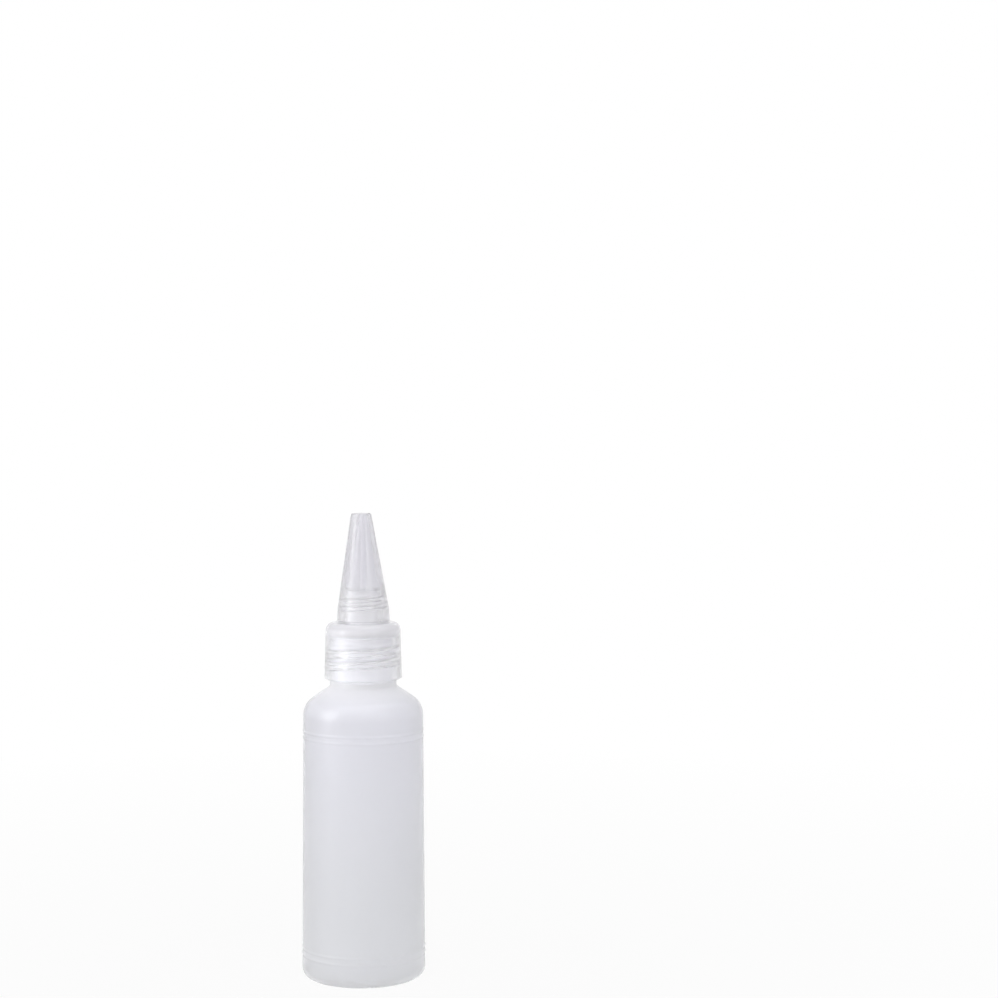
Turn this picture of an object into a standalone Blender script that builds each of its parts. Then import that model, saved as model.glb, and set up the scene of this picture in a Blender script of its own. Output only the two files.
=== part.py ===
"""Squeeze bottle with a screw collar and a twist nozzle, modelled as five turned and threaded pieces.

The bottle stands on its base ring at the origin, with +Z up its axis. The collar screws down on the neck
over a sealing liner. Its post carries a second thread for the nozzle and a long centre pin, which closes
the opening in the nozzle's tip until the nozzle is screwed up off it. All sizes are in metres.
"""

import math

import bmesh
import bpy
from mathutils import Vector

MM = 0.001

# Bottle body
FOOT_DIAMETER = 33.3 * MM
SHOULDER_DIAMETER = 32.3 * MM
SHOULDER_HEIGHT = 74.0 * MM
SHOULDER_RADIUS = 7.1 * MM
SHOULDER_SLOPE = math.radians(34.0)
BODY_WALL = 0.9 * MM
HEEL_RADIUS = 3.8 * MM
BASE_WALL = 1.2 * MM
STANDING_RING_WIDTH = 2.6 * MM
PUSH_UP = 2.0 * MM
PUSH_UP_FLAT_DIAMETER = 10.0 * MM
PUSH_UP_RADIUS = 1.5 * MM

# Beads that edge the label panel
BEAD_LOW_HEIGHT = 7.4 * MM
BEAD_HIGH_DROP = 7.9 * MM
BEAD_WIDTH = 2.4 * MM
BEAD_RISE = 0.12 * MM
BEAD_STEPS = 4

# Bottle neck and its thread
NECK_RING_RISE = 1.15 * MM
NECK_RING_HEIGHT = 1.63 * MM
NECK_RING_FILLET = 0.8 * MM
NECK_DIAMETER = 15.7 * MM
NECK_HEIGHT = 12.35 * MM
NECK_WALL = 1.5 * MM
LIP_RADIUS = 0.4 * MM
NECK_THREAD_DEPTH = 1.0 * MM
NECK_THREAD_LEAD = 3.175 * MM
NECK_THREAD_CREST = 0.9 * MM
NECK_THREAD_FOOT = 2.0 * MM
NECK_THREAD_TURNS = 2.0

# Screw collar and liner
LINER_THICKNESS = 1.0 * MM
LINER_WIDTH = 3.95 * MM
COLLAR_WALL_TOP = 0.75 * MM
COLLAR_WALL_BOTTOM = 1.2 * MM
COLLAR_TOP_THICKNESS = 1.6 * MM
COLLAR_TOP_RADIUS = 2.0 * MM
COLLAR_RIM_RADIUS = 0.6 * MM

# Post on the collar, with its thread, centre pin and the ribs that hold the pin
POST_DIAMETER = 8.0 * MM
POST_HEIGHT = 8.2 * MM
POST_WALL = 1.4 * MM
POST_EDGE_RADIUS = 0.4 * MM
POST_THREAD_DEPTH = 0.7 * MM
POST_THREAD_LEAD = 2.0 * MM
POST_THREAD_CREST = 0.5 * MM
POST_THREAD_FOOT = 1.2 * MM
POST_THREAD_TURNS = 2.0
POST_THREAD_DROP = 0.7 * MM
PIN_DIAMETER = 1.6 * MM
PIN_END_RADIUS = 0.5 * MM
PIN_RECESS = 0.5 * MM
PIN_RIB_COUNT = 3
PIN_RIB_THICKNESS = 0.8 * MM
PIN_RIB_HEIGHT = 3.0 * MM
PIN_RIB_DROP = 2.2 * MM
PIN_FOOT = 0.6 * MM

# Nozzle and the seal in its socket
NOZZLE_HEIGHT = 29.0 * MM
NOZZLE_SKIRT_WALL = 2.1 * MM
NOZZLE_SKIRT_HEIGHT = 3.4 * MM
NOZZLE_SKIRT_DRAFT = 0.18 * MM
NOZZLE_TIP_LAND = 1.6 * MM
NOZZLE_TIP_RADIUS = 0.5 * MM
NOZZLE_TIP_WALL = 1.8 * MM
NOZZLE_TIP_LEDGE = 0.8 * MM
SEAL_SEAT_WIDTH = 1.1 * MM
SEAL_THICKNESS = 0.8 * MM
SEAL_WIDTH = 1.5 * MM

# Clearances
SEAT_GAP = 0.3 * MM
NECK_THREAD_CLEARANCE = 0.4 * MM
POST_THREAD_CLEARANCE = 0.3 * MM
PIN_CLEARANCE = 0.3 * MM

# Facets, and how deep a thread or rib is set into the wall that carries it
SEGMENTS = 48
ARC_CHORD = 0.8 * MM
LEAST_ARC_STEPS = 2
FILLET_SHARE = 0.49
STATIONS_PER_TURN = 32
RUN_OUT = math.radians(40)
SHARP_EDGE = math.radians(35)
MERGE_DISTANCE = 0.0001 * MM
THREAD_EMBED = 0.4 * MM
RIB_EMBED = 0.4 * MM

# Radii that follow from the sizes above
FOOT_R = FOOT_DIAMETER / 2
SHOULDER_R = SHOULDER_DIAMETER / 2
NECK_R = NECK_DIAMETER / 2
NECK_RING_R = NECK_R + NECK_RING_RISE
NECK_BORE_R = NECK_R - NECK_WALL
NECK_CREST_R = NECK_R + NECK_THREAD_DEPTH
COLLAR_BORE_R = NECK_CREST_R + NECK_THREAD_CLEARANCE
COLLAR_CREST_R = NECK_R + NECK_THREAD_CLEARANCE
LINER_R = COLLAR_BORE_R - SEAT_GAP
LINER_BORE_R = LINER_R - LINER_WIDTH
POST_R = POST_DIAMETER / 2
POST_BORE_R = POST_R - POST_WALL
POST_CREST_R = POST_R + POST_THREAD_DEPTH
SOCKET_R = POST_CREST_R + POST_THREAD_CLEARANCE
SOCKET_CREST_R = POST_R + POST_THREAD_CLEARANCE
SEAL_R = SOCKET_R - SEAT_GAP
SEAL_BORE_R = SEAL_R - SEAL_WIDTH
CHAMBER_FOOT_R = SOCKET_R - SEAL_SEAT_WIDTH
PIN_R = PIN_DIAMETER / 2
ORIFICE_R = PIN_R + PIN_CLEARANCE
CHAMBER_TIP_R = ORIFICE_R + NOZZLE_TIP_LEDGE
NOZZLE_FOOT_R = SOCKET_R + NOZZLE_SKIRT_WALL
NOZZLE_TIP_R = ORIFICE_R + NOZZLE_TIP_LAND

# Heights that follow from the sizes above, from the base up
SHOULDER_RISE = math.tan(SHOULDER_SLOPE)
SHOULDER_TOP = SHOULDER_HEIGHT + (SHOULDER_R - NECK_RING_R) * SHOULDER_RISE
BEAD_HIGH_HEIGHT = SHOULDER_HEIGHT - BEAD_HIGH_DROP
NECK_FOOT = SHOULDER_TOP + NECK_RING_HEIGHT
LIP = NECK_FOOT + NECK_HEIGHT
LINER_BOTTOM = LIP + SEAT_GAP
COLLAR_BOTTOM = NECK_FOOT + SEAT_GAP
COLLAR_CEILING = LINER_BOTTOM + LINER_THICKNESS + SEAT_GAP
COLLAR_TOP = COLLAR_CEILING + COLLAR_TOP_THICKNESS
POST_TOP = COLLAR_TOP + POST_HEIGHT
SEAL_BOTTOM = POST_TOP + SEAT_GAP
SOCKET_CEILING = SEAL_BOTTOM + SEAL_THICKNESS + SEAT_GAP
NOZZLE_FOOT = COLLAR_TOP + SEAT_GAP
NOZZLE_TIP = NOZZLE_FOOT + NOZZLE_HEIGHT
PIN_TOP = NOZZLE_TIP - PIN_RECESS
PIN_RIB_BOTTOM = POST_TOP - PIN_RIB_DROP - PIN_RIB_HEIGHT
PIN_BOTTOM = PIN_RIB_BOTTOM - PIN_FOOT

# Each inner thread runs half a lead below its mate. The neck's pair is centred on the neck.
NECK_THREAD_RISE = NECK_THREAD_TURNS * NECK_THREAD_LEAD
NECK_THREAD_START = NECK_FOOT + (NECK_HEIGHT + NECK_THREAD_LEAD / 2 - NECK_THREAD_RISE) / 2
COLLAR_THREAD_START = NECK_THREAD_START - NECK_THREAD_LEAD / 2
POST_THREAD_START = POST_TOP - POST_THREAD_DROP - POST_THREAD_TURNS * POST_THREAD_LEAD
NOZZLE_THREAD_START = POST_THREAD_START - POST_THREAD_LEAD / 2


def clear_scene():
    """Removes the objects that the scene starts with."""
    for thing in list(bpy.data.objects):
        bpy.data.objects.remove(thing, do_unlink=True)


def plastic(name, colour, roughness, transmission):
    """A moulded plastic finish that lets some light through."""
    finish = bpy.data.materials.new(name)
    finish.use_nodes = True
    shader = finish.node_tree.nodes["Principled BSDF"]
    shader.inputs["Base Color"].default_value = (*colour, 1.0)
    shader.inputs["Metallic"].default_value = 0.0
    shader.inputs["Roughness"].default_value = roughness
    shader.inputs["Transmission Weight"].default_value = transmission
    return finish


def fillet_points(before, here, after):
    """The points of one (radius, height, fillet) corner: an arc tangent to both sides, or the bare corner."""
    corner = Vector(here[:2])
    if not here[2]:
        return [corner]
    back = Vector(before[:2]) - corner
    ahead = Vector(after[:2]) - corner
    half = back.angle(ahead) / 2
    reach = min(here[2] / math.tan(half), FILLET_SHARE * back.length, FILLET_SHARE * ahead.length)
    radius = reach * math.tan(half)
    middle = (back.normalized() + ahead.normalized()).normalized()
    centre = corner + middle * radius / math.sin(half)
    first = corner + back.normalized() * reach - centre
    last = corner + ahead.normalized() * reach - centre
    steps = max(LEAST_ARC_STEPS, round((math.pi - 2 * half) * radius / ARC_CHORD))
    return [centre + first.slerp(last, step / steps) * radius for step in range(steps + 1)]


def rounded(corners):
    """The outline through (radius, height, fillet) corners, with each fillet drawn."""
    points = [corners[0][:2]]
    for before, here, after in zip(corners, corners[1:], corners[2:]):
        points += fillet_points(before, here, after)
    points.append(corners[-1][:2])
    return points


def turned(name, outline):
    """A mesh turned round the Z axis from an outline that starts and ends on the axis, or is a loop."""
    mesh = bpy.data.meshes.new(name)
    form = bmesh.new()
    corners = [form.verts.new((radius, 0.0, height)) for radius, height in outline]
    sides = [form.edges.new(pair) for pair in zip(corners, corners[1:])]
    if outline[0][0] > 0:
        sides.append(form.edges.new((corners[-1], corners[0])))
    bmesh.ops.spin(
        form,
        geom=corners + sides,
        cent=(0, 0, 0),
        axis=(0, 0, 1),
        angle=2 * math.pi,
        steps=SEGMENTS,
        use_merge=True,
    )
    bmesh.ops.remove_doubles(form, verts=form.verts, dist=MERGE_DISTANCE)
    bmesh.ops.recalc_face_normals(form, faces=form.faces)
    form.to_mesh(mesh)
    form.free()
    piece = bpy.data.objects.new(name, mesh)
    bpy.context.scene.collection.objects.link(piece)
    return piece


def ridge_section(wall_r, crest_r, crest, foot, run_out):
    """A thread's four (radius, height) corners, its foot inside the wall. A low run_out sinks the crest."""
    outward = math.copysign(1.0, crest_r - wall_r)
    depth = abs(crest_r - wall_r)
    flank = (foot - crest) / 2 / depth
    foot_r = wall_r - outward * THREAD_EMBED
    half_foot = foot / 2 + flank * THREAD_EMBED
    top = foot_r + outward * (depth + THREAD_EMBED) * run_out
    half_top = half_foot - flank * (depth + THREAD_EMBED) * run_out
    return [(foot_r, -half_foot), (top, -half_top), (top, half_top), (foot_r, half_foot)]


def thread(name, wall_r, crest_r, lead, crest, foot, turns, start):
    """A right-hand helical ridge on a wall, from height start, that runs out into the wall at both ends."""
    stations = round(turns * STATIONS_PER_TURN)
    full = 2 * math.pi * turns
    least = THREAD_EMBED / 2 / (abs(crest_r - wall_r) + THREAD_EMBED)
    form = bmesh.new()
    rings = []
    for station in range(stations + 1):
        angle = full * station / stations
        run_out = max(least, min(1.0, angle / RUN_OUT, (full - angle) / RUN_OUT))
        rise = start + lead * angle / (2 * math.pi)
        section = ridge_section(wall_r, crest_r, crest, foot, run_out)
        across, along = math.cos(angle), math.sin(angle)
        rings.append([form.verts.new((r * across, r * along, rise + z)) for r, z in section])
    for ring, following in zip(rings, rings[1:]):
        for side in range(4):
            other = (side + 1) % 4
            form.faces.new((ring[side], ring[other], following[other], following[side]))
    form.faces.new(rings[0])
    form.faces.new(rings[-1])
    bmesh.ops.triangulate(form, faces=form.faces)
    bmesh.ops.recalc_face_normals(form, faces=form.faces)
    return helper(name, form)


def helper(name, form):
    """A mesh that is only joined to another piece."""
    mesh = bpy.data.meshes.new(name)
    form.to_mesh(mesh)
    form.free()
    piece = bpy.data.objects.new(name, mesh)
    bpy.context.scene.collection.objects.link(piece)
    piece.hide_render = True
    piece.display_type = "WIRE"
    return piece


def join(piece, other):
    """Joins a helper's shape to a piece."""
    union = piece.modifiers.new(other.name, "BOOLEAN")
    union.operation = "UNION"
    union.solver = "EXACT"
    union.object = other
    other.hide_render = True
    other.display_type = "WIRE"


def finish(piece, material, parent=None):
    """Smooth shading, the material, and the piece that carries this one."""
    piece.data.shade_smooth()
    piece.data.set_sharp_from_angle(angle=SHARP_EDGE)
    piece.data.materials.append(material)
    piece.parent = parent
    return piece


def body_radius(height):
    """The bottle's outer radius between heel and shoulder, which narrows evenly upwards."""
    return FOOT_R + (SHOULDER_R - FOOT_R) * height / SHOULDER_HEIGHT


def bead(middle):
    """Corners of one raised bead round the body, a cosine bump on the wall."""
    corners = []
    for step in range(BEAD_STEPS + 1):
        share = step / BEAD_STEPS
        height = middle + BEAD_WIDTH * (share - 0.5)
        bump = BEAD_RISE * (1 - math.cos(2 * math.pi * share)) / 2
        corners.append((body_radius(height) + bump, height, 0.0))
    return corners


def base_corners(lift):
    """Corners of the pushed-up base from the axis to its standing ring, raised by lift."""
    ring_inner = FOOT_R - HEEL_RADIUS - STANDING_RING_WIDTH
    return [
        (0.0, PUSH_UP + lift, 0.0),
        (PUSH_UP_FLAT_DIAMETER / 2, PUSH_UP + lift, PUSH_UP_RADIUS),
        (ring_inner, lift, PUSH_UP_RADIUS),
    ]


def make_bottle(material):
    """The blow-moulded body: a thin shell with a pushed-up base, beads, shoulder, neck and neck thread."""
    outside = base_corners(0.0) + [(FOOT_R, 0.0, HEEL_RADIUS)]
    outside += bead(BEAD_LOW_HEIGHT) + bead(BEAD_HIGH_HEIGHT)
    outside += [
        (SHOULDER_R, SHOULDER_HEIGHT, SHOULDER_RADIUS),
        (NECK_RING_R, SHOULDER_TOP, NECK_RING_FILLET),
        (NECK_RING_R, NECK_FOOT, LIP_RADIUS),
        (NECK_R, NECK_FOOT, LIP_RADIUS),
        (NECK_R, LIP, LIP_RADIUS),
    ]
    drop = BODY_WALL / math.cos(SHOULDER_SLOPE)
    inner_shoulder_r = SHOULDER_R - BODY_WALL
    inner_shoulder = SHOULDER_HEIGHT + BODY_WALL * SHOULDER_RISE - drop
    inner_neck = inner_shoulder + (inner_shoulder_r - NECK_BORE_R) * SHOULDER_RISE
    inside = [
        (NECK_BORE_R, LIP, LIP_RADIUS),
        (NECK_BORE_R, inner_neck, NECK_RING_FILLET),
        (inner_shoulder_r, inner_shoulder, SHOULDER_RADIUS - BODY_WALL),
        (FOOT_R - BODY_WALL, BASE_WALL, HEEL_RADIUS),
    ]
    inside += base_corners(BASE_WALL)[::-1]
    bottle = turned("bottle", rounded(outside + inside))
    neck_thread = thread(
        "neck_thread",
        NECK_R,
        NECK_CREST_R,
        NECK_THREAD_LEAD,
        NECK_THREAD_CREST,
        NECK_THREAD_FOOT,
        NECK_THREAD_TURNS,
        NECK_THREAD_START,
    )
    join(bottle, neck_thread)
    return finish(bottle, material)


def washer(name, bore_r, outer_r, bottom, thickness):
    """A flat ring."""
    top = bottom + thickness
    return turned(name, [(bore_r, bottom), (outer_r, bottom), (outer_r, top), (bore_r, top)])


def make_pin_helpers():
    """The centre pin and the ribs that hold it inside the post."""
    pin_corners = [
        (0.0, PIN_BOTTOM, 0.0),
        (PIN_R, PIN_BOTTOM, 0.0),
        (PIN_R, PIN_TOP, PIN_END_RADIUS),
        (0.0, PIN_TOP, 0.0),
    ]
    helpers = [turned("centre_pin", rounded(pin_corners))]
    length = POST_BORE_R + RIB_EMBED
    for number in range(PIN_RIB_COUNT):
        form = bmesh.new()
        bmesh.ops.create_cube(form, size=1.0)
        bmesh.ops.scale(form, vec=(length, PIN_RIB_THICKNESS, PIN_RIB_HEIGHT), verts=form.verts)
        middle = PIN_RIB_BOTTOM + PIN_RIB_HEIGHT / 2
        bmesh.ops.translate(form, vec=(length / 2, 0.0, middle), verts=form.verts)
        rib = helper(f"pin_rib_{number + 1}", form)
        rib.rotation_euler.z = 2 * math.pi * number / PIN_RIB_COUNT
        helpers.append(rib)
    return helpers


def make_collar(material, parent):
    """The screw collar: a skirt threaded inside, a top plate, and the threaded post with its pin."""
    section = [
        (POST_BORE_R, COLLAR_CEILING, 0.0),
        (COLLAR_BORE_R, COLLAR_CEILING, 0.0),
        (COLLAR_BORE_R, COLLAR_BOTTOM, 0.0),
        (COLLAR_BORE_R + COLLAR_WALL_BOTTOM, COLLAR_BOTTOM, COLLAR_RIM_RADIUS),
        (COLLAR_BORE_R + COLLAR_WALL_TOP, COLLAR_TOP, COLLAR_TOP_RADIUS),
        (POST_R, COLLAR_TOP, 0.0),
        (POST_R, POST_TOP, POST_EDGE_RADIUS),
        (POST_BORE_R, POST_TOP, 0.0),
    ]
    collar = turned("collar", rounded(section))
    collar_thread = thread(
        "collar_thread",
        COLLAR_BORE_R,
        COLLAR_CREST_R,
        NECK_THREAD_LEAD,
        NECK_THREAD_CREST,
        NECK_THREAD_FOOT,
        NECK_THREAD_TURNS,
        COLLAR_THREAD_START,
    )
    post_thread = thread(
        "post_thread",
        POST_R,
        POST_CREST_R,
        POST_THREAD_LEAD,
        POST_THREAD_CREST,
        POST_THREAD_FOOT,
        POST_THREAD_TURNS,
        POST_THREAD_START,
    )
    for other in [collar_thread, post_thread] + make_pin_helpers():
        join(collar, other)
    return finish(collar, material, parent)


def make_nozzle(material, parent):
    """The twist nozzle: a skirt and a long cone over a threaded socket, a chamber and the tip opening."""
    section = [
        (SOCKET_R, SOCKET_CEILING, 0.0),
        (SOCKET_R, NOZZLE_FOOT, 0.0),
        (NOZZLE_FOOT_R, NOZZLE_FOOT, 0.0),
        (NOZZLE_FOOT_R - NOZZLE_SKIRT_DRAFT, NOZZLE_FOOT + NOZZLE_SKIRT_HEIGHT, NOZZLE_SKIRT_HEIGHT),
        (NOZZLE_TIP_R, NOZZLE_TIP, NOZZLE_TIP_RADIUS),
        (ORIFICE_R, NOZZLE_TIP, 0.0),
        (ORIFICE_R, NOZZLE_TIP - NOZZLE_TIP_WALL, 0.0),
        (CHAMBER_TIP_R, NOZZLE_TIP - NOZZLE_TIP_WALL, NOZZLE_TIP_RADIUS),
        (CHAMBER_FOOT_R, SOCKET_CEILING, 0.0),
    ]
    nozzle = turned("nozzle", rounded(section))
    nozzle_thread = thread(
        "nozzle_thread",
        SOCKET_R,
        SOCKET_CREST_R,
        POST_THREAD_LEAD,
        POST_THREAD_CREST,
        POST_THREAD_FOOT,
        POST_THREAD_TURNS,
        NOZZLE_THREAD_START,
    )
    join(nozzle, nozzle_thread)
    return finish(nozzle, material, parent)


def main():
    """Makes the five pieces, each carried by the one that it moves on."""
    clear_scene()
    milky = plastic("milky_polyethylene", (0.80, 0.80, 0.83), 0.45, 0.5)
    foam = plastic("liner_foam", (0.88, 0.88, 0.86), 0.7, 0.0)
    clear_collar = plastic("clear_collar_plastic", (0.84, 0.84, 0.86), 0.25, 0.7)
    soft = plastic("soft_seal_plastic", (0.86, 0.86, 0.86), 0.5, 0.2)
    clear_nozzle = plastic("clear_nozzle_plastic", (0.85, 0.85, 0.87), 0.2, 0.8)
    bottle = make_bottle(milky)
    liner = washer("liner", LINER_BORE_R, LINER_R, LINER_BOTTOM, LINER_THICKNESS)
    finish(liner, foam, bottle)
    collar = make_collar(clear_collar, liner)
    seal = washer("nozzle_seal", SEAL_BORE_R, SEAL_R, SEAL_BOTTOM, SEAL_THICKNESS)
    finish(seal, soft, collar)
    make_nozzle(clear_nozzle, seal)
    bpy.context.view_layer.update()


main()
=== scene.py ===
"""Looks of a translucent squeeze bottle with a screw collar and a twist nozzle.

Each piece is an outline of (radius, height) rows carried round the Z axis, with its threads and beads worked
out as whole arrays over turn and height. Sizes are in millimetres until a mesh is written.
"""

import math

import bpy
import numpy as np
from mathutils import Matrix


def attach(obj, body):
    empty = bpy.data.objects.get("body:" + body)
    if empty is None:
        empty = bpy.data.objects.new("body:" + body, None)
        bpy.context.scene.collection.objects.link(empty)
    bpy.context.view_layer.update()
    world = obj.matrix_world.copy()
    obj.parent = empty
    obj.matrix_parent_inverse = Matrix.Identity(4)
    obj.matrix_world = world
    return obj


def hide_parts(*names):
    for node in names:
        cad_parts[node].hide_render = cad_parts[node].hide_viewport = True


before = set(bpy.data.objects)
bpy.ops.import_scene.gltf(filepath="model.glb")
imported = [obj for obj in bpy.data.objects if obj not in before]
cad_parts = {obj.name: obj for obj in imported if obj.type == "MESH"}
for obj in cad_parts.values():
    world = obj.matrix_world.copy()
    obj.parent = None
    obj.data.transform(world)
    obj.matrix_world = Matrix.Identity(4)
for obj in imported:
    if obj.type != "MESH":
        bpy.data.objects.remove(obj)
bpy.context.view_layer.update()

MM = 0.001

# Camera
CAMERA_PLACE = (0.036625, -0.590842, 0.154952)
CAMERA_TILT_DOWN = math.radians(2.5)
CAMERA_LENS = 79.36
CAMERA_SENSOR = 36.0
CAMERA_NEAR = 0.01

# Studio, in metres. A lamp has its name, its degrees aside and up, its width and height, and its watts.
LAMP_AIM = np.array([0.0, 0.0, 0.075])
LAMP_DISTANCE = 0.9
LAMPS = (
    ("left_softbox", -65, 18, 0.4, 0.7, 2.3),
    ("right_softbox", 43, 18, 0.3, 0.7, 0.85),
    ("top_softbox", 0, 80, 1.0, 1.0, 2.8),
)
WORLD_LEVEL = 0.62
WHITE = (1.0, 1.0, 1.0, 1.0)
PAPER = (0.6, 0.6, 0.6, 1.0)
FLOOR_HALF = 3.0
FLOOR_FADE = (0.06, 0.4)
FLOOR_WHITE = (0.93, 1.0)

# Bottle, in millimetres
FOOT_R = 16.65
SHOULDER_R = 16.15
SHOULDER_HEIGHT = 74.0
SHOULDER_RADIUS = 7.1
SHOULDER_TOP = 78.823
HEEL_RADIUS = 3.8
BODY_WALL = 0.9
BASE_WALL = 1.2
RING_INNER_R = 10.25
PUSH_UP = 2.0
PUSH_UP_R = 5.0
PUSH_UP_RADIUS = 1.5
PINCH_RISE = 0.4
PINCH_HALF_WIDTH = 0.45
PINCH_HALF_LENGTH = 4.8
BEAD_HEIGHTS = (7.4, 66.1)
BEAD_SPREAD = 0.85
BEAD_WIDTH = 1.1
BEAD_RISE = 0.1
BEAD_MARGIN = 0.3
NECK_RING_R = 9.0
NECK_FOOT = 80.453
NECK_R = 7.85
NECK_BORE_R = 6.35
LIP = 92.803
INNER_SHOULDER = 73.521
INNER_NECK = 79.525
MARGIN = 0.1

# Collar, post and pin. The collar's loop of rows starts and ends half way up its bore, and its plastic goes
# over to the post's at the post's root.
COLLAR_LOOP = 88.0
COLLAR_BOTTOM = 80.753
COLLAR_CEILING = 94.403
COLLAR_TOP = 96.003
COLLAR_BORE_R = 9.25
COLLAR_FOOT_R = 10.45
COLLAR_HEAD_R = 10.0
POST_R = 4.0
POST_ROOT_R = 4.4
POST_ROOT = 94.2
POST_BORE_R = 2.6
POST_TOP = 104.203
PIN_R = 0.8
PIN_BOTTOM = 98.403
PIN_TOP = 124.803
RIB_BOTTOM = 99.003
RIB_TOP = 102.003
RIB_REACH = 3.0
RIB_HALF = 0.4
RIB_COUNT = 3
RIB_BLEND = 0.2
RIB_EDGE = 0.3

# Nozzle and seals. A ring has its bore and rim radius, its bottom and its top.
NOZZLE_LOOP = 98.0
NOZZLE_FOOT = 96.303
NOZZLE_TIP = 125.303
NOZZLE_FOOT_R = 7.1
NOZZLE_SKIRT_R = 6.92
NOZZLE_SKIRT_TOP = 99.703
NOZZLE_TIP_R = 2.7
ORIFICE_R = 1.1
CHAMBER_TIP_R = 1.9
CHAMBER_FOOT_R = 3.5
CHAMBER_FOOT = 109.0
THROAT_FOOT = 121.0
THROAT_TOP = 124.0
SOCKET_R = 5.0
SOCKET_CEILING = 105.603
MID_WALL_HEIGHTS = (NOZZLE_SKIRT_TOP, SOCKET_CEILING, NOZZLE_TIP)
MID_WALL_R = (6.0, 5.4, 1.9)
LEAN = (0.13, -0.45)
LINER = (5.0, 8.95, 93.103, 94.103)
SEAL = (3.2, 4.7, 104.503, 105.303)

# Threads: start height, lead, turns, crest width, foot width, depth
NECK_THREAD = (84.247, 3.175, 2.0, 0.3, 2.6, 1.0)
COLLAR_THREAD = (82.659, 3.175, 2.0, 0.3, 2.6, 1.0)
POST_THREAD = (99.503, 2.0, 2.0, 0.2, 1.6, 0.7)
NOZZLE_THREAD = (98.503, 2.0, 2.0, 0.2, 1.6, 0.7)
THREAD_RUN_OUT = 40 / 360

# How finely the pieces are cut
ARC_POINTS = 13
FINE = 0.1
BOTTLE_SIDES = 192
COLLAR_SIDES = 160
PIN_SIDES = 180
NOZZLE_SIDES = 144
RING_SIDES = 128

# Finish of the plastics
BUMP_STRENGTH = 0.5
SKIN_DETAIL = 3.0
GLOSS_SPREAD = 0.15
COAT_ROUGHNESS = 0.2
WAVE_SCALE = 45.0
WAVE_DETAIL = 1.0
WAVE_DEPTH = 0.15
PARTING_HALF_WIDTH = 0.3
PARTING_DEPTH = 0.1
DEPTH_COLOUR = (0.5, 0.48, 0.56, 1.0)


def rounded(corners):
    """An outline through (radius, height, fillet, step) corners.

    Each fillet is an arc between its two tangent points, a weighted sum of the two end directions with sine
    weights. It takes at most just under half of the runs that it joins. The straight run after a corner is
    cut into equal steps no longer than that corner's step.
    """
    corners = np.array(corners, float)
    spot = corners[:, :2]
    back = spot[:-2] - spot[1:-1]
    ahead = spot[2:] - spot[1:-1]
    back_length = np.linalg.norm(back, axis=1)
    ahead_length = np.linalg.norm(ahead, axis=1)
    back = back / back_length[:, None]
    ahead = ahead / ahead_length[:, None]
    half = np.arccos(np.clip((back * ahead).sum(1), -1, 1)) / 2
    reach = np.minimum(corners[1:-1, 2] / np.tan(half), 0.49 * np.minimum(back_length, ahead_length))
    radius = reach * np.tan(half)
    middle = back + ahead
    middle = middle / np.maximum(np.linalg.norm(middle, axis=1), 1e-9)[:, None]
    centre = spot[1:-1] + middle * (radius / np.sin(half))[:, None]
    first = spot[1:-1] + back * reach[:, None] - centre
    last = spot[1:-1] + ahead * reach[:, None] - centre
    span = np.maximum(math.pi - 2 * half, 1e-6)[:, None]
    share = np.linspace(0, 1, ARC_POINTS)
    from_first = np.sin((1 - share) * span) / np.sin(span)
    from_last = np.sin(share * span) / np.sin(span)
    arcs = centre[:, None] + first[:, None] * from_first[..., None] + last[:, None] * from_last[..., None]
    ends = np.repeat(spot[[0, -1]][:, None], ARC_POINTS, axis=1)
    rows = np.concatenate([ends[:1], arcs, ends[1:]])
    steps = np.full(rows.shape[:2], np.inf)
    steps[:, -1] = corners[:, 3]
    return even_steps(rows.reshape(-1, 2), steps.reshape(-1)[:-1])


def even_steps(line, step):
    """The line with each of its runs cut into equal parts no longer than its step, repeats left out."""
    run = np.diff(line, axis=0)
    length = np.linalg.norm(run, axis=1)
    parts = np.maximum(1, np.ceil(length / step - 1e-9)).astype(int)
    which = np.repeat(np.arange(len(parts)), parts)
    share = (np.arange(parts.sum()) - np.repeat(np.cumsum(parts) - parts, parts)) / parts[which]
    points = np.vstack([line[which] + run[which] * share[:, None], line[-1:]])
    apart = np.linalg.norm(np.diff(points, axis=0), axis=1) > 1e-6
    return points[np.concatenate([[True], apart])]


def smooth(share):
    """Eases a share from 0 to 1, flat at both ends: three squares less two cubes."""
    share = np.clip(share, 0, 1)
    return share * share * (3 - 2 * share)


def thread(turn, height, start, lead, turns, crest, foot, depth):
    """How far a right-hand thread stands off its wall at each turn angle and height.

    The lap of the helix nearest to a point gives the height above the thread's middle line. The depth then
    eases from the foot's edge to the crest's edge, and to nothing at both ends of the helix.
    """
    about = turn / (2 * math.pi)
    lap = np.round((height - start) / lead - about)
    along = about + lap
    off = np.abs(height - start - lead * along)
    flank = smooth((foot / 2 - off) / ((foot - crest) / 2))
    ends = smooth(np.minimum(along, turns - along) / THREAD_RUN_OUT)
    return depth * flank * ends


def all_round(sides):
    """Even turn angles all the way round, without the last, which is the first again."""
    return np.linspace(0, 2 * math.pi, sides, endpoint=False)[None]


def carried_round(radius, height, turn):
    """Points at each radius and height, carried to each turn angle about the Z axis."""
    radius, height, turn = np.broadcast_arrays(radius, height, turn)
    return np.stack([radius * np.cos(turn), radius * np.sin(turn), height], axis=-1)


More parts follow.
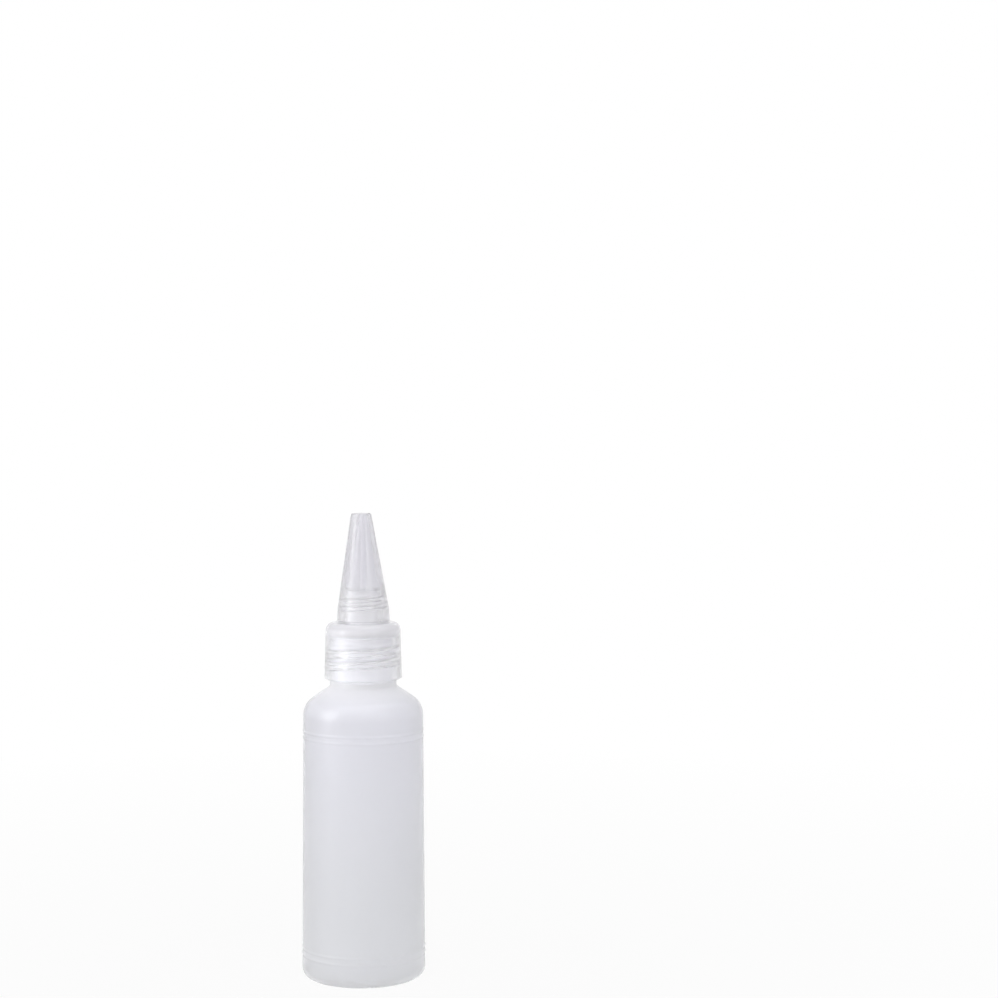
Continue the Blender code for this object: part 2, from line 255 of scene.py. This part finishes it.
def put_mesh(name, grid, looped, *materials, zone=None):
    """Writes a grid of points, outline rows by turns, as one closed smooth mesh.

    In a looped grid the last row joins the first. Otherwise the first and last rows are single points on the
    axis, closed by a fan of triangles. A zone for each row says which of the materials it takes.
    """
    rows, count = grid.shape[:2]
    if looped:
        points = grid.reshape(-1, 3)
        index = np.arange(rows * count).reshape(rows, count)
        index = np.vstack([index, index[:1]])
        fans = []
    else:
        points = np.vstack([grid[0, :1], grid[1:-1].reshape(-1, 3), grid[-1, :1]])
        index = 1 + np.arange((rows - 2) * count).reshape(rows - 2, count)
        low = np.stack([np.zeros(count, int), np.roll(index[0], -1), index[0]], axis=-1)
        high = np.stack([np.full(count, len(points) - 1), index[-1], np.roll(index[-1], -1)], axis=-1)
        fans = np.vstack([low, high]).tolist()
    following = np.roll(index, -1, axis=1)
    quads = np.stack([index[:-1], following[:-1], following[1:], index[1:]], axis=-1).reshape(-1, 4)
    mesh = bpy.data.meshes.new(name)
    mesh.from_pydata((points * MM).tolist(), [], quads.tolist() + fans)
    mesh.shade_smooth()
    for material in materials:
        mesh.materials.append(material)
    if zone is not None:
        marks = np.zeros(len(mesh.polygons), int)
        marks[: len(quads)] = np.repeat(zone[: len(quads) // count], count)
        mesh.polygons.foreach_set("material_index", marks)
    piece = bpy.data.objects.new(name, mesh)
    bpy.context.scene.collection.objects.link(piece)
    return piece


def on_wall(radius, wall_r):
    """1 on the rows of an outline that lie on a straight wall of that radius, 0 on the others."""
    return np.isclose(radius, wall_r, atol=0.005).astype(float)[:, None]


def body_r(height):
    """The bottle's outer radius, narrowing evenly from foot to shoulder."""
    return FOOT_R + (SHOULDER_R - FOOT_R) * height / SHOULDER_HEIGHT


def bottle_outline():
    """The bottle's section from the middle of its base, up the outside, over the lip and down the inside."""
    low, high = BEAD_HEIGHTS
    reach = BEAD_SPREAD + BEAD_WIDTH / 2 + BEAD_MARGIN
    return rounded(
        [
            (0.0, PUSH_UP, 0, 0.3),
            (PUSH_UP_R, PUSH_UP, PUSH_UP_RADIUS, 0.4),
            (RING_INNER_R, 0.0, PUSH_UP_RADIUS, 0.5),
            (FOOT_R, 0.0, HEEL_RADIUS, 0.6),
            (body_r(low - reach), low - reach, 0, 0.12),
            (body_r(low + reach), low + reach, 0, 1.5),
            (body_r(high - reach), high - reach, 0, 0.12),
            (body_r(high + reach), high + reach, 0, 0.5),
            (SHOULDER_R, SHOULDER_HEIGHT, SHOULDER_RADIUS, 0.4),
            (NECK_RING_R, SHOULDER_TOP, 0.8, 0.3),
            (NECK_RING_R, NECK_FOOT, 0.4, 0.3),
            (NECK_R, NECK_FOOT, 0.4, 0.15),
            (NECK_R, LIP, 0.4, 0.3),
            (NECK_BORE_R, LIP, 0.4, 0.6),
            (NECK_BORE_R, INNER_NECK, 0.8, 0.6),
            (SHOULDER_R - BODY_WALL, INNER_SHOULDER, SHOULDER_RADIUS - BODY_WALL, 2.0),
            (FOOT_R - BODY_WALL, BASE_WALL, HEEL_RADIUS, 0.6),
            (RING_INNER_R, BASE_WALL, PUSH_UP_RADIUS, 0.6),
            (PUSH_UP_R, PUSH_UP + BASE_WALL, PUSH_UP_RADIUS, 0.6),
            (0.0, PUSH_UP + BASE_WALL, 0, 1.0),
        ]
    )


def bottle_shell(body, shoulder, neck):
    """The blown bottle: its outline carried round, with two pairs of fine beads and the neck's thread.

    A bead is one wave of a cosine across its width. Under the base a bar with a bell-shaped section stands
    where the mould pinched the blown tube off. Shoulder and neck take their own plastics, by height.
    """
    line = bottle_outline()
    radius, height = line[:, :1], line[:, 1:]
    turn = all_round(BOTTLE_SIDES)
    outside = (radius > body_r(height) - BODY_WALL / 3).astype(float) * (height > HEEL_RADIUS)
    for middle in BEAD_HEIGHTS:
        off = np.clip((np.abs(height - middle) - BEAD_SPREAD) / BEAD_WIDTH, -0.5, 0.5)
        radius = radius + outside * BEAD_RISE * (1 + np.cos(2 * math.pi * off)) / 2
    radius = radius + on_wall(line[:, 0], NECK_R) * thread(turn, height, *NECK_THREAD)
    grid = carried_round(radius, height, turn)
    under = (np.arange(len(line)) < len(line) // 2)[:, None] & (height < PUSH_UP + MARGIN)
    bell = np.exp(-np.square(grid[..., 1] / PINCH_HALF_WIDTH))
    grid[..., 2] -= under * PINCH_RISE * bell * smooth(PINCH_HALF_LENGTH - np.abs(grid[..., 0]))
    zone = np.digitize(line[:, 1], (SHOULDER_HEIGHT, NECK_FOOT - MARGIN))
    return put_mesh("bottle_shell", grid, False, body, shoulder, neck, zone=zone[1:-1])


def collar_shell(skin, post):
    """The collar and its post in one closed loop: up the outside and the post, then down the bores.

    The inner thread is taken off the bore's radius, and the post's thread is added to the post's.
    """
    line = rounded(
        [
            (COLLAR_BORE_R, COLLAR_LOOP, 0, FINE),
            (COLLAR_BORE_R, COLLAR_BOTTOM, 0.25, 0.3),
            (COLLAR_FOOT_R, COLLAR_BOTTOM, 0.6, 0.5),
            (COLLAR_HEAD_R, COLLAR_TOP, 2.0, 0.5),
            (POST_R, COLLAR_TOP, 0.3, FINE),
            (POST_R, POST_TOP, 0.4, 0.3),
            (POST_BORE_R, POST_TOP, 0.3, 0.5),
            (POST_BORE_R, COLLAR_CEILING, 0.3, 0.5),
            (COLLAR_BORE_R, COLLAR_CEILING, 0.7, FINE),
            (COLLAR_BORE_R, COLLAR_LOOP, 0, FINE),
        ]
    )[:-1]
    radius, height = line[:, :1], line[:, 1:]
    turn = all_round(COLLAR_SIDES)
    inner = on_wall(line[:, 0], COLLAR_BORE_R) * thread(turn, height, *COLLAR_THREAD)
    outer = on_wall(line[:, 0], POST_R) * thread(turn, height, *POST_THREAD)
    grid = carried_round(radius - inner + outer, height, turn)
    zone = (line[:, 1] > POST_ROOT) & (line[:, 0] < POST_ROOT_R)
    return put_mesh("collar_shell", grid, True, skin, post, zone=zone)


def centre_pin(material):
    """The pin on the axis. Between its rib heights the section is a star of bars.

    A bar's edge lies at half its thickness over the sine of the angle from its middle, up to its reach.
    """
    line = rounded(
        [
            (0.0, PIN_BOTTOM, 0, 0.3),
            (PIN_R, PIN_BOTTOM, 0.3, 0.3),
            (PIN_R, RIB_BOTTOM, 0, 0.08),
            (PIN_R, RIB_BOTTOM + RIB_EDGE, 0, 0.4),
            (PIN_R, RIB_TOP - RIB_EDGE, 0, 0.08),
            (PIN_R, RIB_TOP, 0, 0.8),
            (PIN_R, PIN_TOP, 0.5, 0.2),
            (0.0, PIN_TOP, 0, 0.3),
        ]
    )
    radius, height = line[:, :1], line[:, 1:]
    turn = all_round(PIN_SIDES)
    pitch = 2 * math.pi / RIB_COUNT
    aside = np.abs((turn + pitch / 2) % pitch - pitch / 2)
    bar = np.minimum(RIB_REACH, RIB_HALF / np.maximum(np.sin(np.minimum(aside, math.pi / 2)), 1e-3))
    inside = smooth((height - RIB_BOTTOM) / RIB_BLEND) * smooth((RIB_TOP - height) / RIB_BLEND)
    star = radius + np.maximum(bar - PIN_R, 0) * inside
    return put_mesh("centre_pin", carried_round(star, height, turn), False, material)


def nozzle_shell(material):
    """The nozzle in one closed loop: up the skirt and cone to the tip, then down its bores.

    The thread is taken off the socket's radius. The outside, past the middle of the wall, leans a little to
    one side, evenly with height, as moulded. The bores stay on the axis.
    """
    line = rounded(
        [
            (SOCKET_R, NOZZLE_LOOP, 0, FINE),
            (SOCKET_R, NOZZLE_FOOT, 0.3, 0.3),
            (NOZZLE_FOOT_R, NOZZLE_FOOT, 0.2, 0.3),
            (NOZZLE_SKIRT_R, NOZZLE_SKIRT_TOP, 3.4, 0.5),
            (NOZZLE_TIP_R, NOZZLE_TIP, 0.5, 0.2),
            (ORIFICE_R, NOZZLE_TIP, 0.2, 0.2),
            (ORIFICE_R, THROAT_TOP, 0.5, 0.2),
            (CHAMBER_TIP_R, THROAT_FOOT, 1.0, 0.5),
            (CHAMBER_FOOT_R, CHAMBER_FOOT, 4.0, 0.3),
            (SOCKET_R, SOCKET_CEILING, 1.5, FINE),
            (SOCKET_R, NOZZLE_LOOP, 0, FINE),
        ]
    )[:-1]
    radius, height = line[:, :1], line[:, 1:]
    turn = all_round(NOZZLE_SIDES)
    inner = on_wall(line[:, 0], SOCKET_R) * thread(turn, height, *NOZZLE_THREAD)
    grid = carried_round(radius - inner, height, turn)
    mid_wall = np.interp(height, MID_WALL_HEIGHTS, MID_WALL_R)
    aside = np.interp(height, (NOZZLE_FOOT, NOZZLE_TIP), LEAN)
    grid[..., 0] += np.where(radius > mid_wall, aside, 0.0)
    return put_mesh("nozzle_shell", grid, True, material)


def washer(name, sizes, material):
    """A flat ring with eased edges: a rounded rectangle carried round."""
    bore, rim, bottom, top = sizes
    middle = (bore + rim) / 2
    line = rounded(
        [
            (middle, bottom, 0, 0.5),
            (rim, bottom, 0.2, 0.5),
            (rim, top, 0.2, 0.5),
            (bore, top, 0.2, 0.5),
            (bore, bottom, 0.2, 0.5),
            (middle, bottom, 0, 0.5),
        ]
    )[:-1]
    return put_mesh(name, carried_round(line[:, :1], line[:, 1:], all_round(RING_SIDES)), True, material)


def noise(tree, where, scale, detail):
    """A cloudy pattern's value at each place."""
    node = tree.nodes.new("ShaderNodeTexNoise")
    node.inputs["Scale"].default_value = scale
    node.inputs["Detail"].default_value = detail
    tree.links.new(where, node.inputs["Vector"])
    return node.outputs["Fac"]


def ramp(tree, value, source, target, eased=False):
    """A value that goes through the target's range while the given one goes through the source's."""
    node = tree.nodes.new("ShaderNodeMapRange")
    if eased:
        node.interpolation_type = "SMOOTHSTEP"
    node.inputs["From Min"].default_value, node.inputs["From Max"].default_value = source
    node.inputs["To Min"].default_value, node.inputs["To Max"].default_value = target
    tree.links.new(value, node.inputs["Value"])
    return node.outputs["Result"]


def bump(tree, height, depth, under=None):
    """The surface's direction with a height of that depth on it, over the bump under it if there is one."""
    node = tree.nodes.new("ShaderNodeBump")
    node.inputs["Strength"].default_value = BUMP_STRENGTH
    node.inputs["Distance"].default_value = depth * MM
    tree.links.new(height, node.inputs["Height"])
    if under:
        tree.links.new(under, node.inputs["Normal"])
    return node.outputs["Normal"]


def worked_out(tree, operation, *values):
    """The result of one arithmetic step on one or two values."""
    node = tree.nodes.new("ShaderNodeMath")
    node.operation = operation
    for value, socket in zip(values, node.inputs):
        tree.links.new(value, socket)
    return node.outputs[0]


def mixed(tree, share, first, second):
    """Two shaders in one, the first where the share is 0 and the second where it is 1."""
    node = tree.nodes.new("ShaderNodeMixShader")
    for value, socket in zip((share, first, second), node.inputs):
        tree.links.new(value, socket)
    return node.outputs[0]


def plastic(
    name,
    colour,
    roughness,
    transmission,
    grain,
    depth=0.02,
    coat=0.0,
    passing=0.0,
    bend=1.51,
    upper=None,
    seam=False,
    depth_tint=0.0,
):
    """A moulded plastic that passes light, with a fine uneven gloss and skin.

    Passing is the share of lamp light that goes straight through. Upper is a second colour, the two heights
    between which the plastic goes over to it, and its transmission. A seam adds the mould's parting line, a
    fine ridge where Y is 0, and slow waves of a blown wall. A depth tint darkens the long ways through.
    """
    finish = bpy.data.materials.new(name)
    finish.use_nodes = True
    tree = finish.node_tree
    links = tree.links
    shader = tree.nodes["Principled BSDF"]
    output = tree.nodes["Material Output"]
    shader.inputs["Base Color"].default_value = (*colour, 1.0)
    shader.inputs["IOR"].default_value = bend
    shader.inputs["Transmission Weight"].default_value = transmission
    shader.inputs["Coat Weight"].default_value = coat
    shader.inputs["Coat Roughness"].default_value = COAT_ROUGHNESS
    where = tree.nodes.new("ShaderNodeTexCoord").outputs["Object"]
    skin = noise(tree, where, grain, SKIN_DETAIL)
    spread = (roughness * (1 - GLOSS_SPREAD), roughness * (1 + GLOSS_SPREAD))
    links.new(ramp(tree, skin, (0.0, 1.0), spread), shader.inputs["Roughness"])
    normal = bump(tree, skin, depth)
    if seam or upper:
        axes = tree.nodes.new("ShaderNodeSeparateXYZ")
        links.new(where, axes.inputs[0])
    if seam:
        waves = noise(tree, where, WAVE_SCALE, WAVE_DETAIL)
        normal = bump(tree, waves, WAVE_DEPTH, normal)
        aside = worked_out(tree, "ABSOLUTE", axes.outputs["Y"])
        ridge = ramp(tree, aside, (0.0, PARTING_HALF_WIDTH * MM), (1.0, 0.0), True)
        normal = bump(tree, ridge, PARTING_DEPTH, normal)
    links.new(normal, shader.inputs["Normal"])
    if upper:
        upper_colour, low, high, upper_transmission = upper
        rise = ramp(tree, axes.outputs["Z"], (low * MM, high * MM), (0.0, 1.0), True)
        # The colour changes with height. On the bottle this is painted light, lighter towards the top; on
        # the collar's top it is painted shade; on the nozzle it is the thick cone's own darker tone.
        tint = tree.nodes.new("ShaderNodeMix")
        tint.data_type = "RGBA"
        tint.inputs["A"].default_value = (*colour, 1.0)
        tint.inputs["B"].default_value = (*upper_colour, 1.0)
        links.new(rise, tint.inputs["Factor"])
        links.new(tint.outputs["Result"], shader.inputs["Base Color"])
        if upper_transmission != transmission:
            haze = ramp(tree, rise, (0.0, 1.0), (transmission, upper_transmission))
            links.new(haze, shader.inputs["Transmission Weight"])
    if depth_tint:
        thickness = tree.nodes.new("ShaderNodeVolumeAbsorption")
        thickness.inputs["Color"].default_value = DEPTH_COLOUR
        thickness.inputs["Density"].default_value = depth_tint
        links.new(thickness.outputs[0], output.inputs["Volume"])
    if passing:
        ray = tree.nodes.new("ShaderNodeLightPath")
        open_way = tree.nodes.new("ShaderNodeBsdfTransparent")
        open_way.inputs["Color"].default_value = (passing, passing, passing, 1.0)
        both = mixed(tree, ray.outputs["Is Shadow Ray"], shader.outputs[0], open_way.outputs[0])
        links.new(both, output.inputs["Surface"])
    return finish


def seen_white(tree):
    """1 for rays that show the background as it is: from the camera, a reflection or a refraction."""
    ray = tree.nodes.new("ShaderNodeLightPath").outputs
    either = worked_out(tree, "MAXIMUM", ray["Is Camera Ray"], ray["Is Glossy Ray"])
    return worked_out(tree, "MAXIMUM", either, ray["Is Transmission Ray"])


def make_world():
    """White where it is seen, and a plain soft level where it lights the bottle."""
    world = bpy.data.worlds.new("studio")
    bpy.context.scene.world = world
    world.use_nodes = True
    tree = world.node_tree
    tree.nodes.clear()
    out = tree.nodes.new("ShaderNodeOutputWorld")
    soft = tree.nodes.new("ShaderNodeBackground")
    soft.inputs["Color"].default_value = WHITE
    soft.inputs["Strength"].default_value = WORLD_LEVEL
    white = tree.nodes.new("ShaderNodeBackground")
    white.inputs["Color"].default_value = WHITE
    white.inputs["Strength"].default_value = 1.0
    tree.links.new(mixed(tree, seen_white(tree), soft.outputs[0], white.outputs[0]), out.inputs[0])


def make_floor():
    """A wide pale floor, white where it is seen apart from a share that takes the bottle's shadow.

    That share shrinks with distance from the bottle, so that the floor goes over into the white behind it.
    """
    mesh = bpy.data.meshes.new("floor")
    corners = FLOOR_HALF * np.array([(-1, -1, 0), (1, -1, 0), (1, 1, 0), (-1, 1, 0)])
    mesh.from_pydata(corners.tolist(), [], [(0, 1, 2, 3)])
    floor = bpy.data.objects.new("floor", mesh)
    bpy.context.scene.collection.objects.link(floor)
    finish = bpy.data.materials.new("floor_paper")
    finish.use_nodes = True
    tree = finish.node_tree
    tree.nodes.clear()
    out = tree.nodes.new("ShaderNodeOutputMaterial")
    paper = tree.nodes.new("ShaderNodeBsdfDiffuse")
    paper.inputs["Color"].default_value = PAPER
    white = tree.nodes.new("ShaderNodeEmission")
    white.inputs["Strength"].default_value = 1.0
    where = tree.nodes.new("ShaderNodeTexCoord")
    away = tree.nodes.new("ShaderNodeVectorMath")
    away.operation = "LENGTH"
    tree.links.new(where.outputs["Object"], away.inputs[0])
    fade = ramp(tree, away.outputs["Value"], FLOOR_FADE, FLOOR_WHITE)
    share = worked_out(tree, "MULTIPLY", fade, seen_white(tree))
    tree.links.new(mixed(tree, share, paper.outputs[0], white.outputs[0]), out.inputs[0])
    mesh.materials.append(finish)


def softbox(name, aside, up, width, height, watts):
    """A soft lamp at an angle aside from the camera's line and an angle up, aimed at the bottle."""
    side, lift = math.radians(aside), math.radians(up)
    way = np.array([math.sin(side) * math.cos(lift), -math.cos(side) * math.cos(lift), math.sin(lift)])
    lamp = bpy.data.lights.new(name, "AREA")
    lamp.shape = "RECTANGLE"
    lamp.size = width
    lamp.size_y = height
    lamp.energy = watts
    stand = bpy.data.objects.new(name, lamp)
    stand.location = LAMP_AIM + LAMP_DISTANCE * way
    stand.rotation_euler = (math.pi / 2 - lift, 0, side)
    bpy.context.scene.collection.objects.link(stand)


def make_camera():
    """The camera at the photograph's place, tilted a little down."""
    lens = bpy.data.cameras.new("camera")
    lens.lens = CAMERA_LENS
    lens.sensor_width = CAMERA_SENSOR
    lens.clip_start = CAMERA_NEAR
    camera = bpy.data.objects.new("camera", lens)
    camera.location = CAMERA_PLACE
    camera.rotation_euler = (math.pi / 2 - CAMERA_TILT_DOWN, 0, 0)
    bpy.context.scene.collection.objects.link(camera)
    bpy.context.scene.camera = camera


def place(piece, body, slot, *nodes):
    """Rides a piece on its body, in place of the CAD nodes it stands for."""
    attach(piece, body)
    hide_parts(*nodes)


bpy.context.scene.view_settings.view_transform = "Standard"
make_camera()
make_world()
make_floor()
for lamp in LAMPS:
    softbox(*lamp)

# The body's colour goes lighter and bluer from its foot to its shoulder; the lightening is painted light,
# brighter towards the top.
milky_body = plastic(
    "milky_polyethylene",
    (0.915, 0.92, 0.94),
    roughness=0.5,
    transmission=0.7,
    grain=900.0,
    coat=0.7,
    passing=0.85,
    upper=((0.95, 0.95, 0.99), 5.0, 80.0, 0.7),
    seam=True,
)
# The shoulder carries the body's painted light on: its colour goes lighter still towards the neck, where the
# plastic also turns milkier.
milky_shoulder = plastic(
    "milky_shoulder",
    (0.949, 0.949, 0.989),
    roughness=0.5,
    transmission=0.7,
    grain=900.0,
    coat=0.7,
    passing=0.85,
    upper=((0.96, 0.96, 0.99), 74.5, 80.0, 0.1),
    seam=True,
)
# The neck keeps the lighter colour of the painted light at the top of the bottle.
milky_neck = plastic(
    "milky_neck", (0.95, 0.95, 0.985), roughness=0.5, transmission=0.05, grain=900.0, coat=0.15, passing=0.85
)
# The collar's top goes slightly darker in colour, painted shade against the top lamp, and its plastic
# milkier.
clear_collar = plastic(
    "clear_collar_plastic",
    (0.97, 0.97, 0.99),
    roughness=0.22,
    transmission=0.82,
    grain=700.0,
    coat=0.4,
    passing=0.95,
    bend=1.42,
    upper=((0.95, 0.945, 0.98), 91.0, 95.0, 0.5),
)
milky_post = plastic(
    "milky_post", (0.98, 0.98, 1.0), roughness=0.4, transmission=0.2, grain=700.0, coat=0.2, passing=0.9
)
clear_nozzle = plastic(
    "clear_nozzle_plastic",
    (0.98, 0.98, 0.99),
    roughness=0.22,
    transmission=0.8,
    grain=700.0,
    coat=0.6,
    passing=0.95,
    bend=1.42,
    upper=((0.895, 0.89, 0.92), 101.0, 108.0, 0.8),
    depth_tint=54.0,
)
foam = plastic("liner_foam", (0.95, 0.95, 0.94), roughness=0.7, transmission=0.0, grain=3000.0, depth=0.05)
soft_seal = plastic(
    "soft_seal_plastic",
    (0.97, 0.97, 0.98),
    roughness=0.2,
    transmission=0.85,
    grain=900.0,
    passing=0.95,
    bend=1.35,
)

place(bottle_shell(milky_body, milky_shoulder, milky_neck), "bottle", "milky_polyethylene", "bottle")
place(washer("liner_ring", LINER, foam), "liner", "liner_foam", "liner")
place(collar_shell(clear_collar, milky_post), "collar", "clear_collar_plastic", "collar")
place(centre_pin(milky_post), "collar", "clear_collar_plastic", "collar")
place(washer("seal_ring", SEAL, soft_seal), "nozzle_seal", "soft_seal_plastic", "nozzle_seal")
place(nozzle_shell(clear_nozzle), "nozzle", "clear_nozzle_plastic", "nozzle")
